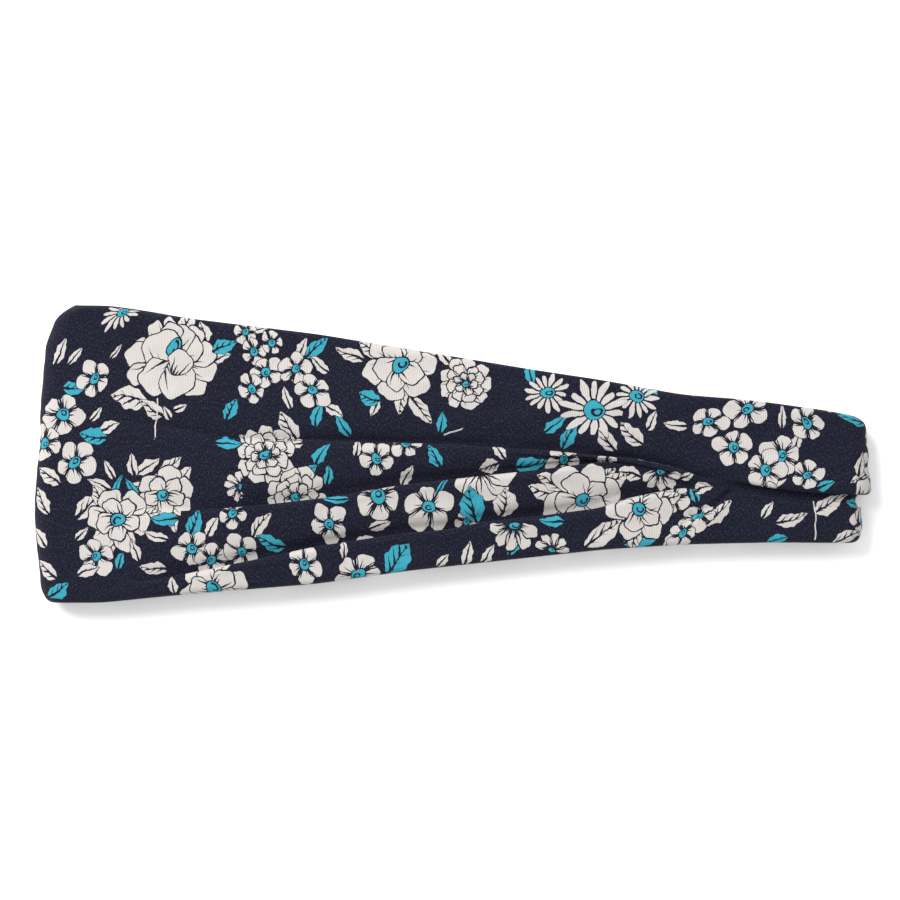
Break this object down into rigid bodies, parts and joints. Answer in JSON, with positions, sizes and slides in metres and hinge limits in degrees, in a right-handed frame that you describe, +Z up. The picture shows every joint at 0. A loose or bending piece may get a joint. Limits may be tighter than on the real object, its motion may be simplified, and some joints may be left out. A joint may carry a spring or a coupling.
{
  "type": "stretch headband",
  "caption": "Wide fabric stretch headband: a printed two-ply jersey loop lying folded flat in half, wide at the front and pleated down to a narrow back.",
  "frame": {"origin": "on the table, under the centre of the folded band", "axes": "+X from the front fold to the back fold, +Y across the band, +Z up from the table"},
  "size_m": [0.2398, 0.0849, 0.0102],
  "materials": {
    "printed_cloth": "matte navy jersey with a cream and turquoise flower print",
    "inner_cloth": "matte navy jersey, the same printed cloth turned inwards",
    "thread": "dark navy polyester sewing thread"
  },
  "bodies": {
    "lower_middle": {"lower_middle_outer_ply": "printed_cloth", "lower_middle_inner_ply": "inner_cloth", "lower_middle_pleat_a": "printed_cloth", "lower_middle_pleat_b": "printed_cloth", "lower_middle_pleat_c": "printed_cloth", "seam_allowance_middle": "inner_cloth"},
    "lower_front": {"lower_front_outer_ply": "printed_cloth", "lower_front_inner_ply": "inner_cloth", "front_fold_outer_ply": "printed_cloth", "front_fold_inner_ply": "inner_cloth"},
    "upper_front": {"upper_front_outer_ply": "printed_cloth", "upper_front_inner_ply": "inner_cloth"},
    "upper_middle": {"upper_middle_outer_ply": "printed_cloth", "upper_middle_inner_ply": "inner_cloth", "upper_middle_pleat_a": "printed_cloth", "upper_middle_pleat_b": "printed_cloth", "upper_middle_pleat_c": "printed_cloth"},
    "upper_back": {"upper_back_outer_ply": "printed_cloth", "upper_back_inner_ply": "inner_cloth", "upper_back_pleat_a": "printed_cloth", "upper_back_pleat_c": "printed_cloth", "upper_back_tuck": "printed_cloth", "upper_back_flap": "printed_cloth", "upper_pleat_tack": "thread"},
    "lower_back": {"lower_back_outer_ply": "printed_cloth", "lower_back_inner_ply": "inner_cloth", "lower_back_pleat_a": "printed_cloth", "lower_back_pleat_c": "printed_cloth", "lower_back_tuck": "printed_cloth", "lower_back_flap": "printed_cloth", "lower_pleat_tack": "thread", "back_fold_outer_ply": "printed_cloth", "back_fold_inner_ply": "inner_cloth", "seam_allowance_back": "inner_cloth", "cross_seam_thread": "thread"}
  },
  "joints": [
    {"name": "front_fold", "type": "hinge", "parent": "lower_front", "child": "upper_front", "pos_m": [-0.1149, 0, 0.0051], "axis": [0, -1, 0], "range_deg": [0, 90]},
    {"name": "front_lower_bend", "type": "hinge", "parent": "lower_middle", "child": "lower_front", "pos_m": [-0.04, 0, 0.002], "axis": [0, 1, 0], "range_deg": [0, 45]},
    {"name": "front_upper_bend", "type": "hinge", "parent": "upper_front", "child": "upper_middle", "pos_m": [-0.04, 0, 0.0082], "axis": [0, 1, 0], "range_deg": [0, 45]},
    {"name": "back_upper_bend", "type": "hinge", "parent": "upper_middle", "child": "upper_back", "pos_m": [0.04, 0, 0.0082], "axis": [0, 1, 0], "range_deg": [0, 45]},
    {"name": "back_fold", "type": "hinge", "parent": "upper_back", "child": "lower_back", "pos_m": [0.1149, 0, 0.0051], "axis": [0, -1, 0], "range_deg": [0, 90]}
  ],
  "couplings": [
    {"joint": "front_lower_bend", "follows": "front_fold", "ratio": 0.5},
    {"joint": "front_upper_bend", "follows": "front_fold", "ratio": 0.5},
    {"joint": "back_upper_bend", "follows": "front_fold", "ratio": 0.5},
    {"joint": "back_fold", "follows": "front_fold", "ratio": 1}
  ]
}
